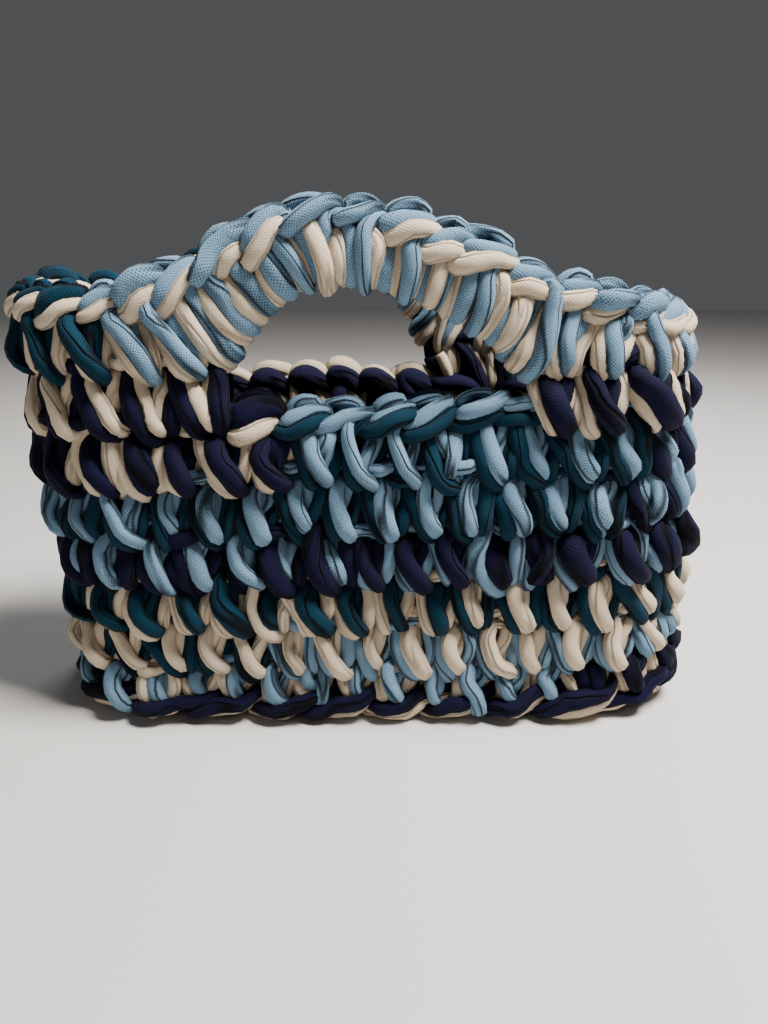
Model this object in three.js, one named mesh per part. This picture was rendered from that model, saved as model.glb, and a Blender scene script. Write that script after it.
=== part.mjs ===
// A crochet handbag of thick jersey yarn, worked in one spiral from an oval base.
// Millimetres, +Z up, front towards -Y, the bag's long side along X, standing on z = 0.
// Each round of stitches is a piece of its own. Two hand openings are left in the seventh
// round, front and back, and the eighth round wraps a chain over each of them as a handle.
import * as THREE from "three";

// The base
const baseLength = 311;
const baseDepth = 105;
const baseThickness = 14;
const edgeWidth = 16; // the braid around the base, across
const edgeOverhang = 2; // how far that braid stands out from the wall

// The walls
const fabric = 18; // thickness of the crocheted wall
const stitchCount = 36; // stitches in a round
const roundHeight = 23.6;
const seamStart = 6; // height of the line from which the rounds are counted
const stitchRelief = 0.9; // how far each stitch stands out of its round
const closedRoundCount = 6; // closed rounds below the hand openings

// The hand openings and the handles
const openingEdgeHeight = 9;
const openingEdgeWidth = 17;
const openingLift = 4; // how far the lower edge of the opening rises to one side
const handleRise = 38; // rise of the handle's core chain over the opening
const handleCrown = 35; // rise of the rim over the handle
const handleWidth = 19;
const coreDrop = 9; // from the core chain's line down to the handle's underside
const wrapRelief = 0.7; // how far each wrap stands out of the handle

// The braid along the rim
const rimWidth = 18;
const rimBelow = 4.5; // from the rim's line down to the braid's underside
const rimAbove = 8.5; // and up to its crest
const rimRelief = 0.8;

const gap = 0.4; // between pieces that lie on each other
const endGap = 0.8; // between the handles and the ends of the rounds beside them
const roundLength = 2 * (baseLength - baseDepth) + Math.PI * baseDepth;

// The seams between the rounds, from the base up. The reaches to the left and right end are
// shares of half the base's length, the depth is a share of the base's depth, and the lifts at
// the two ends are shares of a round's height. The bag leans a little to its left.
const seams = [
  { reachLeft: 1.0, reachRight: 1.0, depth: 0.98, liftLeft: 0.04, liftRight: 0.08 },
  { reachLeft: 1.0, reachRight: 0.997, depth: 0.99, liftLeft: 0.04, liftRight: 0.25 },
  { reachLeft: 1.003, reachRight: 0.99, depth: 1.01, liftLeft: 0.0, liftRight: 0.12 },
  { reachLeft: 1.01, reachRight: 0.977, depth: 1.02, liftLeft: -0.12, liftRight: 0.18 },
  { reachLeft: 1.026, reachRight: 0.968, depth: 1.03, liftLeft: -0.34, liftRight: 0.15 },
  { reachLeft: 1.036, reachRight: 0.961, depth: 1.03, liftLeft: -0.3, liftRight: 0.08 },
  { reachLeft: 1.05, reachRight: 0.949, depth: 1.02, liftLeft: -0.2, liftRight: 0.12 },
  { reachLeft: 1.07, reachRight: 0.936, depth: 0.996, liftLeft: -0.05, liftRight: -0.05 },
  { reachLeft: 1.09, reachRight: 0.923, depth: 0.972, liftLeft: 0.09, liftRight: -0.25 },
];

// The hand openings and their handles, in shares of a whole round from the right end's middle,
// towards the front: where the opening starts and ends, where its core stands highest, where
// the rim starts to rise, stands highest and is down again, and where the lower edge is lifted.
// The fullness of an arch is the power that bends it: 2 is a parabola and more is squarer.
const handles = [
  {
    name: "front", from: 5 / 36, crest: 9.6 / 36, to: 12 / 36, fullness: 2,
    rimFrom: 2.2 / 36, rimCrest: 9.3 / 36, rimTo: 14.2 / 36, edgeCrest: 6.2 / 36,
  },
  {
    name: "back", from: 22 / 36, crest: 26.5 / 36, to: 29 / 36, fullness: 3,
    rimFrom: 20.7 / 36, rimCrest: 26.2 / 36, rimTo: 32.7 / 36, edgeCrest: 26 / 36,
  },
];
const edgeLiftReach = 0.07; // half width of the lower edge's lift, as a share of a round

// Cross sections: up is a share of the height between two seams, out a share of half the width
const wallSection = [
  { up: 0, out: 0.72 }, { up: 0.28, out: 1 }, { up: 0.72, out: 0.97 }, { up: 1, out: 0.68 },
  { up: 1, out: -0.72 }, { up: 0.5, out: -0.95 }, { up: 0, out: -0.72 },
];
const handleSection = [
  { up: 0, out: 0.45 }, { up: 0.15, out: 0.9 }, { up: 0.6, out: 1 }, { up: 1, out: 0.7 },
  { up: 1, out: -0.7 }, { up: 0.6, out: -1 }, { up: 0.15, out: -0.9 }, { up: 0, out: -0.45 },
];
const braidSection = [
  { up: 0, out: 0.75 }, { up: 0.45, out: 1 }, { up: 0.95, out: 0.6 }, { up: 0.86, out: 0.1 },
  { up: 1, out: -0.5 }, { up: 0.5, out: -1 }, { up: 0, out: -0.75 },
];
const edgeSection = [
  { up: 0, out: 0.7 }, { up: 0.35, out: 1 }, { up: 0.75, out: 0.98 }, { up: 1, out: 0.75 },
  { up: 1, out: -1 }, { up: 0, out: -1 },
];

// A point of an oblong plan with round ends, at a share of the way around it, with the outward
// direction there. The way starts at the right end's middle and runs over the front.
function planPoint(reachLeft, reachRight, halfDepth, share) {
  const straight = reachLeft + reachRight - 2 * halfDepth;
  const quarter = (Math.PI * halfDepth) / 2;
  const length = 2 * straight + 4 * quarter;
  const way = (((share % 1) + 1) % 1) * length;
  const rightCentre = reachRight - halfDepth;
  const leftCentre = halfDepth - reachLeft;
  const onArc = (centre, angle) => ({
    x: centre + halfDepth * Math.cos(angle),
    y: halfDepth * Math.sin(angle),
    outX: Math.cos(angle),
    outY: Math.sin(angle),
  });
  if (way < quarter) return onArc(rightCentre, -way / halfDepth);
  if (way < quarter + straight) {
    return { x: rightCentre - (way - quarter), y: -halfDepth, outX: 0, outY: -1 };
  }
  if (way < 3 * quarter + straight) {
    return onArc(leftCentre, -Math.PI / 2 - (way - quarter - straight) / halfDepth);
  }
  if (way < 3 * quarter + 2 * straight) {
    return { x: leftCentre + (way - 3 * quarter - straight), y: halfDepth, outX: 0, outY: 1 };
  }
  return onArc(rightCentre, Math.PI / 2 - (way - 3 * quarter - 2 * straight) / halfDepth);
}

// The middle of the wall on a seam, at a share of the way around
function seamPoint(level, share) {
  const seam = seams[level];
  const reachLeft = (seam.reachLeft * baseLength) / 2;
  const reachRight = (seam.reachRight * baseLength) / 2;
  const halfDepth = (seam.depth * baseDepth) / 2;
  const middle = fabric / 2;
  const point = planPoint(reachLeft - middle, reachRight - middle, halfDepth - middle, share);
  const alongLeft = Math.max(0, -point.x / reachLeft);
  const alongRight = Math.max(0, point.x / reachRight);
  const lift = seam.liftLeft * alongLeft ** 2 + seam.liftRight * alongRight ** 2;
  point.z = seamStart + roundHeight * (level + lift);
  return point;
}

// A smooth swelling from one share of the way to another, one at its crest
function swelling(share, from, crest, to) {
  const offset = share < crest ? (share - crest) / (crest - from) : (share - crest) / (to - crest);
  return Math.abs(offset) < 1 ? Math.cos((Math.PI * offset) / 2) ** 2 : 0;
}

// The arch of a handle's core over its opening, one at its crest
function arch(share, { from, crest, to, fullness }) {
  const offset = share < crest ? (share - crest) / (crest - from) : (share - crest) / (to - crest);
  return Math.max(0, 1 - Math.abs(offset) ** fullness);
}

function wholeShare(share) {
  return ((share % 1) + 1) % 1;
}

// The top of the closed rounds, which carries the hand openings' lower edges
function openingFloor(share) {
  const point = seamPoint(closedRoundCount, share);
  for (const handle of handles) {
    const from = handle.edgeCrest - edgeLiftReach;
    const to = handle.edgeCrest + edgeLiftReach;
    point.z += openingLift * swelling(wholeShare(share), from, handle.edgeCrest, to);
  }
  return point;
}

// The core chain of the handles, level where the wall runs up beside them
function coreLine(share) {
  const point = seamPoint(closedRoundCount + 1, share);
  for (const handle of handles) {
    point.z += handleRise * arch(wholeShare(share), handle);
  }
  return point;
}

// The middle line of the braid along the rim and over the handles
function rimLine(share) {
  const point = seamPoint(closedRoundCount + 2, share);
  for (const handle of handles) {
    point.z += handleCrown * swelling(wholeShare(share), handle.rimFrom, handle.rimCrest, handle.rimTo);
  }
  return point;
}

// A line moved up by a height, leaning as the seventh round beside the hand openings does
function raised(line, height) {
  return (share) => {
    const point = line(share);
    const low = seamPoint(closedRoundCount, share);
    const high = seamPoint(closedRoundCount + 1, share);
    point.x += ((high.x - low.x) * height) / roundHeight;
    point.y += ((high.y - low.y) * height) / roundHeight;
    point.z += height;
    return point;
  };
}

// A closed band between a lower and an upper line. Its section is a polygon, out of the wall's
// middle by shares of half the width. Relief moves the outer corners of every other station.
function band({ lower, upper, width, section, from = 0, to = 1, steps, relief, phase = 0 }) {
  const closed = to - from > 0.999;
  const stations = closed ? steps : steps + 1;
  const corners = section.length;
  const positions = [];
  for (let station = 0; station < stations; station += 1) {
    const share = from + ((to - from) * station) / steps;
    const low = lower(share);
    const high = upper(share);
    const bottom = low.z + gap / 2;
    const top = high.z - gap / 2;
    for (const corner of section) {
      const mix = (a, b) => a + (b - a) * corner.up;
      const wave = (station + phase) % 2 === 0 ? 1 : -1;
      const swell = corner.out > 0 && corner.up > 0 && corner.up < 1 ? relief * wave : 0;
      const out = (corner.out * width) / 2 + swell;
      const x = mix(low.x + low.outX * out, high.x + high.outX * out);
      const y = mix(low.y + low.outY * out, high.y + high.outY * out);
      positions.push(x, y, mix(bottom, top));
    }
  }
  const indices = [];
  const links = closed ? stations : stations - 1;
  for (let station = 0; station < links; station += 1) {
    const next = (station + 1) % stations;
    for (let corner = 0; corner < corners; corner += 1) {
      const after = (corner + 1) % corners;
      const a = station * corners + corner;
      const b = station * corners + after;
      const c = next * corners + after;
      const d = next * corners + corner;
      indices.push(a, b, c, a, c, d);
    }
  }
  if (!closed) {
    const outline = section.map((corner) => new THREE.Vector2(corner.out, corner.up));
    const last = (stations - 1) * corners;
    for (const triangle of THREE.ShapeUtils.triangulateShape(outline, [])) {
      const [a, b, c] = triangle.sort((first, second) => first - second);
      indices.push(c, b, a, last + a, last + b, last + c);
    }
  }
  return closedSolid(positions, indices);
}

// A solid from its corners and triangles, with its faces turned outwards
function closedSolid(positions, indices) {
  let volume = 0;
  const corner = (index) => new THREE.Vector3().fromArray(positions, index * 3);
  for (let first = 0; first < indices.length; first += 3) {
    const a = corner(indices[first]);
    const b = corner(indices[first + 1]);
    const c = corner(indices[first + 2]);
    volume += a.dot(b.cross(c));
  }
  if (volume < 0) indices.reverse();
  const geometry = new THREE.BufferGeometry();
  geometry.setAttribute("position", new THREE.Float32BufferAttribute(positions, 3));
  geometry.setIndex(indices);
  geometry.computeVertexNormals();
  return geometry;
}

// Yarn colours, two strands held together in each round
const yarns = {
  navyCream: 0x5f6478,
  creamSky: 0xb7c3cb,
  creamTeal: 0x8fa3a5,
  skyNavy: 0x4f6b8e,
  tealSky: 0x4a7f98,
};

const bag = new THREE.Group();

function addPiece(name, geometry, yarn) {
  const material = new THREE.MeshStandardMaterial({ color: yarns[yarn], roughness: 0.9, metalness: 0 });
  const mesh = new THREE.Mesh(geometry, material);
  mesh.name = name;
  bag.add(mesh);
}

const stationsPerRound = 2 * stitchCount;
const wallFoot = (share) => ({ ...seamPoint(0, share), z: baseThickness });

// The base panel lies flat inside the braid around its edge
function addBase() {
  const inset = edgeWidth - edgeOverhang + gap;
  const seam = seams[0];
  const halfDepth = (seam.depth * baseDepth) / 2 - inset;
  const reachLeft = (seam.reachLeft * baseLength) / 2 - inset;
  const reachRight = (seam.reachRight * baseLength) / 2 - inset;
  const outline = new THREE.Shape();
  outline.moveTo(reachRight - halfDepth, -halfDepth);
  outline.absarc(reachRight - halfDepth, 0, halfDepth, -Math.PI / 2, Math.PI / 2, false);
  outline.absarc(halfDepth - reachLeft, 0, halfDepth, Math.PI / 2, (Math.PI * 3) / 2, false);
  const panel = new THREE.ExtrudeGeometry(outline, {
    depth: baseThickness - gap / 2, bevelEnabled: false, curveSegments: 14,
  });
  addPiece("base_panel", panel, "navyCream");

  // the braid around the edge, its middle line moved out to where it stands
  const shift = fabric / 2 + edgeOverhang - edgeWidth / 2;
  const moved = (height) => (share) => {
    const point = seamPoint(0, share);
    point.x += point.outX * shift;
    point.y += point.outY * shift;
    point.z = height;
    return point;
  };
  addPiece("base_edge", band({
    lower: moved(-gap / 2), upper: moved(baseThickness), width: edgeWidth,
    section: edgeSection, steps: stationsPerRound, relief: stitchRelief,
  }), "navyCream");
}

// The closed rounds below the hand openings
function addRounds() {
  const colours = ["creamSky", "creamTeal", "creamTeal", "skyNavy", "tealSky", "tealSky"];
  for (let round = 1; round <= closedRoundCount; round += 1) {
    const lower = round === 1 ? wallFoot : (share) => seamPoint(round - 1, share);
    const upper = round === closedRoundCount ? openingFloor : (share) => seamPoint(round, share);
    addPiece(`round_${round}`, band({
      lower, upper, width: fabric, section: wallSection,
      steps: stationsPerRound, relief: stitchRelief, phase: round,
    }), colours[round - 1]);
  }
}

// The two rounds beside the hand openings, each in a left and a right part
function addEnds() {
  const [front, back] = handles;
  const sides = [
    { name: "left", from: front.to, to: back.from },
    { name: "right", from: back.to - 1, to: front.from },
  ];
  const cut = endGap / 2 / roundLength;
  const rounds = [
    { number: closedRoundCount + 1, lower: openingFloor, upper: coreLine, yarn: "navyCream" },
    { number: closedRoundCount + 2, lower: coreLine, upper: raised(rimLine, -rimBelow), yarn: "creamSky" },
  ];
  for (const { number, lower, upper, yarn } of rounds) {
    for (const side of sides) {
      const steps = Math.round((side.to - side.from) * stationsPerRound);
      addPiece(`round_${number}_${side.name}`, band({
        lower, upper, width: fabric, section: wallSection,
        from: side.from + cut, to: side.to - cut,
        steps, relief: stitchRelief, phase: number,
      }), yarn);
    }
  }
}

// The handles, wrapped closely, and the braid that edges each opening below
function addHandles() {
  const cut = endGap / 2 / roundLength;
  for (const handle of handles) {
    const steps = Math.round((handle.to - handle.from) * stationsPerRound);
    addPiece(`opening_edge_${handle.name}`, band({
      lower: openingFloor, upper: raised(openingFloor, openingEdgeHeight), width: openingEdgeWidth,
      section: braidSection, from: handle.from + cut, to: handle.to - cut,
      steps, relief: rimRelief,
    }), handle.name === "front" ? "tealSky" : "navyCream");
    addPiece(`handle_${handle.name}`, band({
      lower: raised(coreLine, -coreDrop), upper: raised(rimLine, -rimBelow), width: handleWidth,
      section: handleSection, from: handle.from + cut, to: handle.to - cut,
      steps: 2 * steps, relief: wrapRelief,
    }), handle.name === "front" ? "creamSky" : "creamTeal");
  }
}

// The braid along the whole rim, over both handles
function addRim() {
  addPiece("rim_braid", band({
    lower: raised(rimLine, -rimBelow), upper: raised(rimLine, rimAbove), width: rimWidth,
    section: braidSection, steps: stationsPerRound, relief: rimRelief,
  }), "creamSky");
}

addBase();
addRounds();
addEnds();
addHandles();
addRim();

// The origin is under the middle of the bag's box, on the surface that it stands on
const box = new THREE.Box3().setFromObject(bag);
const middle = box.getCenter(new THREE.Vector3());
bag.position.set(-middle.x, -middle.y, 0);

const part = new THREE.Group();
part.add(bag);

export default part;
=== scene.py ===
# %% [markdown]
# A crochet handbag of thick jersey yarn
#
# The bag is worked in one spiral of single crochet with two strands of T-shirt yarn held
# together. Every stitch is made here as the yarn really runs, so the walls, the handles and
# the braids are all one kind of form: a pair of soft tubes on a looping path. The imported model
# gives the place and the size of every round, and each round of yarn stands for its solid.

# %% The frame and its box
import math

import bpy
import numpy as np
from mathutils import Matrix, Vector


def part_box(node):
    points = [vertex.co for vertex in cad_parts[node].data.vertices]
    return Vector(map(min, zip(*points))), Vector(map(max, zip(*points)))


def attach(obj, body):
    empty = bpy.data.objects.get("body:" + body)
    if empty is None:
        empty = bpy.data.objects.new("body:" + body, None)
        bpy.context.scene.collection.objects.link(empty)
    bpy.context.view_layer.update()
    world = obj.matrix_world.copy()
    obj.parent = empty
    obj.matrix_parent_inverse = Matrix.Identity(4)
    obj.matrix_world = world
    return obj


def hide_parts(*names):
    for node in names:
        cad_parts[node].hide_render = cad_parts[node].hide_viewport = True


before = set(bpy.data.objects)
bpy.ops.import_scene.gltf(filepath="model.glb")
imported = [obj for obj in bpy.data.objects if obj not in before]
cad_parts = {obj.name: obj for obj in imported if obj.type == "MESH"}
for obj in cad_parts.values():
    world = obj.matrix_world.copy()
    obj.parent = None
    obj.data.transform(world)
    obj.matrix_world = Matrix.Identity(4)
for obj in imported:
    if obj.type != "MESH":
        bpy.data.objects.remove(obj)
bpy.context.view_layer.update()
MM = 0.001

# %% [markdown]
# The camera comes first. It stands straight in front of the bag, a little above the handles,
# and looks down at it, as a phone held over a table does.

# %% The camera
PIXELS_WIDE = 768
PIXELS_HIGH = 1024
FOCAL_PIXELS = 769
SENSOR = 36.0
CAMERA_PLACE = (6.5, -375.0, 213.0)
CAMERA_PITCH = 18.3
CAMERA_YAW = 0.3


def add_camera():
    """A camera whose long side's field is that of the focal length given in pixels."""
    data = bpy.data.cameras.new("camera")
    data.sensor_width = SENSOR
    data.lens = FOCAL_PIXELS / max(PIXELS_WIDE, PIXELS_HIGH) * SENSOR
    data.clip_start = 0.01
    camera = bpy.data.objects.new("camera", data)
    bpy.context.scene.collection.objects.link(camera)
    camera.location = [value * MM for value in CAMERA_PLACE]
    camera.rotation_euler = (math.radians(90 - CAMERA_PITCH), 0, math.radians(-CAMERA_YAW))
    bpy.context.scene.camera = camera
    return camera


camera = add_camera()
print("lens in mm", round(camera.data.lens, 2))

# %% [markdown]
# The walls follow the seams between the rounds of the imported model. Each seam is an oblong
# with round ends. Its reaches are shares of half the base's length and its depth is a share of
# the base's depth, and the bag leans a little to its left as it rises. Only here, and not in the
# imported model's base, the right end of the base is drawn in a little and curls up off the floor.

# %% The seams of the wall
BASE_LENGTH = 311.0
BASE_DEPTH = 105.0
FABRIC = 18.0
ROUND_HEIGHT = 23.6
SEAM_START = 6.0
STITCH_COUNT = 36
CLOSED_ROUNDS = 6
CORE_LEVEL = 7
RIM_LEVEL = 8
OPENING_LIFT = 4.0
HANDLE_RISE = 38.0
HANDLE_CROWN = 35.0
EDGE_LIFT_REACH = 0.07
END_CURL = 9.0  # the curl at the base's right tip, which is gone two rounds up
CURL_LEVELS = 2
CURL_POWER = 4

SEAMS = {
    "reach_left": [1.0, 1.0, 1.003, 1.01, 1.026, 1.036, 1.05, 1.07, 1.09],
    "reach_right": [0.97, 0.985, 0.985, 0.977, 0.968, 0.961, 0.949, 0.936, 0.923],
    "depth": [0.98, 0.99, 1.01, 1.02, 1.03, 1.03, 1.02, 0.996, 0.972],
    "lift_left": [0.04, 0.04, 0.0, -0.12, -0.34, -0.3, -0.2, -0.05, 0.09],
    "lift_right": [0.08, 0.25, 0.12, 0.18, 0.15, 0.08, 0.12, -0.05, -0.25],
}

# in stitches from the right end's middle over the front, made into shares of a round below
HANDLES = {
    "front": {"start": 5, "crest": 9.6, "end": 12, "rim_start": 2.2, "rim_crest": 9.3,
              "rim_end": 14.2, "edge_crest": 6.2},
    "back": {"start": 22, "crest": 26.5, "end": 29, "rim_start": 20.7, "rim_crest": 26.2,
             "rim_end": 32.7, "edge_crest": 26},
}
FULLNESS = {"front": 2, "back": 3}  # the power that bends a handle's arch: more is squarer
for spans in HANDLES.values():
    for key in spans:
        spans[key] /= STITCH_COUNT


def column(name, level):
    """A column of the seam table at any level, in straight lines between the seams."""
    return np.interp(level, np.arange(len(SEAMS[name])), SEAMS[name])


def oblong(reach_left, reach_right, half_depth, share):
    """Points and outward directions on an oblong with round ends: two straight sides and two
    half circles, run through clockwise by arc length from the right end's middle."""
    straight = reach_left + reach_right - 2 * half_depth
    quarter = np.pi * half_depth / 2
    way = (share % 1) * (2 * straight + 4 * quarter)
    right, left = reach_right - half_depth, half_depth - reach_left
    ways = [way < quarter, way < quarter + straight, way < 3 * quarter + straight,
            way < 3 * quarter + 2 * straight]
    angle = np.select(ways, [
        -way / half_depth,
        np.full_like(way, -np.pi / 2),
        -np.pi / 2 - (way - quarter - straight) / half_depth,
        np.full_like(way, -3 * np.pi / 2),
    ], np.pi / 2 - (way - 3 * quarter - 2 * straight) / half_depth)
    centre = np.select(ways, [
        np.broadcast_to(right, way.shape),
        right - (way - quarter),
        np.broadcast_to(left, way.shape),
        left + (way - 3 * quarter - straight),
    ], right)
    out = np.stack([np.cos(angle), np.sin(angle)], -1)
    return np.stack([centre, np.zeros_like(way)], -1) + half_depth[..., None] * out, out


def from_crest(share, start, crest, end):
    """The way from the crest, as a share of the way from there to that side's end."""
    return np.where(share < crest, (crest - share) / (crest - start), (share - crest) / (end - crest))


def swelling(share, start, crest, end):
    """A squared cosine that is one at the crest and zero at the start and the end."""
    return np.cos(np.pi / 2 * np.clip(from_crest(share, start, crest, end), 0, 1)) ** 2


def arch(share, name):
    """One less a power of the way from the crest, so it is zero at the opening's two ends."""
    ends = (HANDLES[name][key] for key in ("start", "crest", "end"))
    return np.maximum(0, 1 - from_crest(share, *ends) ** FULLNESS[name])


def rise_over_seams(level, share):
    """Heights that the hand openings add, in straight lines between the seams they lift."""
    share = share % 1
    edge = sum(OPENING_LIFT * swelling(share, h["edge_crest"] - EDGE_LIFT_REACH, h["edge_crest"],
                                       h["edge_crest"] + EDGE_LIFT_REACH) for h in HANDLES.values())
    core = sum(HANDLE_RISE * arch(share, name) for name in HANDLES)
    rim = sum(HANDLE_CROWN * swelling(share, h["rim_start"], h["rim_crest"], h["rim_end"])
              for h in HANDLES.values())
    up = np.clip(level - CLOSED_ROUNDS, -1, RIM_LEVEL - CLOSED_ROUNDS)
    return np.where(up < 0, edge * (1 + up), np.where(up < 1, edge + (core - edge) * up,
                                                      core + (rim - core) * (up - 1)))


def wall_middle(level, share):
    """The middle of the wall's thickness at a level, counted in rounds, with the way out."""
    level = np.clip(level, 0, RIM_LEVEL)
    reach_left = column("reach_left", level) * BASE_LENGTH / 2
    reach_right = column("reach_right", level) * BASE_LENGTH / 2
    half_depth = column("depth", level) * BASE_DEPTH / 2
    inset = FABRIC / 2
    flat, out = oblong(reach_left - inset, reach_right - inset, half_depth - inset, share)
    left = np.maximum(0, -flat[..., 0] / reach_left)
    right = np.maximum(0, flat[..., 0] / reach_right)
    lift = column("lift_left", level) * left**2 + column("lift_right", level) * right**2
    height = SEAM_START + ROUND_HEIGHT * (level + lift) + rise_over_seams(level, share)
    height = height + END_CURL * np.maximum(0, 1 - level / CURL_LEVELS) * right**CURL_POWER
    middle = np.concatenate([flat, height[..., None]], -1)
    return middle, np.concatenate([out, np.zeros_like(height)[..., None]], -1)


def unit(vectors):
    """Vectors at length one, along the last axis."""
    return vectors / np.maximum(np.linalg.norm(vectors, axis=-1, keepdims=True), 1e-9)


def direction(points, closed):
    """The way that a line of points runs at each of them, from its neighbours."""
    if closed:
        return unit(np.roll(points, -1, 0) - np.roll(points, 1, 0))
    return unit(np.gradient(points, axis=0))


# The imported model's origin is under the middle of its own box
base_box = np.array(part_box("base_edge")) / MM
BASE_SHIFT = np.array([(base_box[0][0] + base_box[1][0]) / 2, (base_box[0][1] + base_box[1][1]) / 2, 0])
print("base middle in the frame, mm", np.round(BASE_SHIFT, 1))

# %% [markdown]
# A single crochet stitch is a knot that hooks under the two legs of the chain below it. The
# yarn comes up the back, dives under the lower chain to the front, climbs as the right leg of a
# V, turns over the top, falls as the left leg, dives back under the chain, climbs inside, and
# then lies along the top as one link of the next chain. The table lists that way for one stitch
# at its own middle, so a whole round is one unbroken line of such stitches.

# %% The way of the yarn through one stitch
# Eight columns. Along is in stitch widths, to the right from outside; out in mm from the wall's
# middle; up in shares of the round's height and rise in mm more. Then come the half gap between
# the two strands, to the right, out and up in mm, and the strand's girth as a share. The gap
# points to the first strand, which stays on the inner side of the V and stands out a little.
STITCH = np.array([
    (0.6, -4.2, 0.86, 0, 0.6, 1, 2, 0.85),
    (0.43, -5, 0.6, 0, -1.2, 0.6, 1.6, 0.95),
    (0.24, -5, 0.32, 0, -2, 0.2, 0.9, 0.95),
    (0.08, -4, 0.06, -3, -1.8, 0.2, 1.4, 0.85),
    (0.01, -0.3, 0, -8, -1.5, 0, 2, 0.75),
    (-0.01, 2.8, 0, -6.5, -1.6, 0.3, 1.6, 0.88),
    (0.04, 4.6, 0, -1.6, -2.1, 0.6, 1, 1.03),
    (0.14, 5.2, 0.26, 0, -2.4, 0.7, 0.6, 1.12),
    (0.3, 4.5, 0.56, 0, -2.5, 0.7, 0.4, 1.12),
    (0.4, 2.4, 0.84, 0, -2.3, 0.5, -0.6, 0.99),
    (0.34, -0.8, 1, 0, -1.3, 0.3, -1.8, 0.75),
    (0, -1.4, 1, 0.6, 0, 0.2, -2, 0.68),
    (-0.3, 0, 1, 0, 1.4, 0.5, -1.8, 0.8),
    (-0.44, 2.5, 0.86, 0, 2.3, 0.9, -0.2, 0.98),
    (-0.43, 5, 0.6, 0, 2.5, 1, 0.8, 1.11),
    (-0.3, 6.3, 0.31, 0, 2.4, 0.9, 1.4, 1.19),
    (-0.08, 6.5, 0.03, -1, 2, 0.7, 2, 1.16),
    (0.07, 4.7, 0, -6.4, 1.1, 0.3, 2.3, 0.99),
    (0.07, 0.8, 0, -9.2, 0.8, 0, 2.3, 0.8),
    (0, -3.6, 0, -4.5, 1.6, 0.2, 1.6, 0.85),
    (-0.11, -5, 0.25, 0, 2.2, 0, 0.5, 0.95),
    (-0.17, -5, 0.6, 0, 2.2, 0.3, 0.4, 0.95),
    (-0.1, -3.4, 0.92, 0, 2, 0.8, 0.6, 0.85),
    (0.1, -0.8, 1, 1.4, 1.2, 0.2, 1.6, 0.8),
], dtype=float)
# A stitch worked over the core of a handle: both legs stand side by side and go all round it
WRAP = np.array([
    (0.42, -3.8, 0.9, 0, 1.6, 0.6, 1.6, 0.85),
    (0.3, -5.8, 0.62, 0, 2.4, 0, 0.6, 1.05),
    (0.25, -6.2, 0.22, 0, 2.6, 0, 0, 1.1),
    (0.25, -5, 0, -3.6, 2.6, 0, 0, 1.05),
    (0.25, 0, 0, -6.6, 2.6, 0, 0, 1),
    (0.25, 5, 0, -3.6, 2.6, 0, 0, 1.1),
    (0.25, 6.3, 0.12, 0, 2.6, 0, 0, 1.2),
    (0.25, 6.3, 0.38, 0, 2.6, 0, 0, 1.25),
    (0.26, 5.6, 0.66, 0, 2.6, 0, 0, 1.2),
    (0.26, 3.6, 0.9, 0, 2.3, 0.4, 0, 1),
    (0.14, 1.6, 1, 0.5, 1.4, 0.8, 1.8, 0.8),
    (0, 1.2, 1, 0.5, 1, 0.8, 2, 0.8),
    (-0.14, 1.6, 1, 0.5, 1.4, 0.8, 1.8, 0.8),
    (-0.24, 3.6, 0.9, 0, 2.3, 0.4, 0.4, 1),
    (-0.26, 5.8, 0.66, 0, 2.6, 0, 0.3, 1.2),
    (-0.25, 6.5, 0.38, 0, 2.6, 0, 0, 1.25),
    (-0.25, 6.4, 0.12, 0, 2.6, 0, 0, 1.2),
    (-0.25, 5, 0, -3.6, 2.6, 0, 0, 1.1),
    (-0.25, 0, 0, -6.6, 2.6, 0, 0, 1),
    (-0.25, -5, 0, -3.6, 2.6, 0, 0, 1.05),
    (-0.25, -6.2, 0.22, 0, 2.6, 0, 0, 1.1),
    (-0.24, -5.8, 0.62, 0, 2.5, 0.3, 0.2, 1.05),
    (-0.14, -3.8, 0.92, 0, 2, 0.8, 0.6, 0.85),
    (0.1, -1.2, 1, 1.6, 1.2, 0.2, 1.6, 0.8),
], dtype=float)
# The link of chain that follows a stitch: its front leg hangs over the V, its back leg stands up
LINK = np.array([
    (0.42, 1, 1, 1.4, 0.8, -0.6, 1.6, 0.8),
    (0.22, 3.2, 1, 1, 0.6, -0.4, 2, 0.95),
    (-0.08, 5.2, 1, -0.6, 0.5, 0, 2.3, 1.12),
    (-0.42, 6.2, 1, -2.8, 0.5, 0.2, 2.5, 1.22),
    (-0.76, 6.2, 1, -5, 0.8, 0.2, 2.4, 1.2),
    (-1.02, 4.6, 1, -6, 1.5, 0, 1.8, 1.02),
    (-1.14, 1.8, 1, -5, 2, 0, 1.3, 0.85),
    (-1.14, -1.8, 1, -2.4, 1.9, 0.6, 1.2, 0.85),
    (-1, -4.2, 1, 0.8, 1, 1.6, 1.2, 1),
    (-0.7, -4.8, 1, 4, 0.2, 2.1, 1, 1.12),
    (-0.32, -3.8, 1, 5.8, 0.2, 2.1, 1, 1.15),
    (0, -2.4, 1, 5.2, 0.5, 2, 1, 1.05),
    (0.24, -2.2, 1, 2.4, 0.9, 1.6, 1.2, 0.85),
], dtype=float)
YARN_RADIUS = 3.0
print("points in a stitch", len(STITCH), "and in its link", len(LINK))

# %% [markdown]
# A round of yarn is worked out as whole arrays. Every point of every stitch is carried to its
# place on the wall. Hand work is never even, so each stitch gets small seeded shifts of its
# own, and the two strands turn slowly about each other along the yarn.

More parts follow.
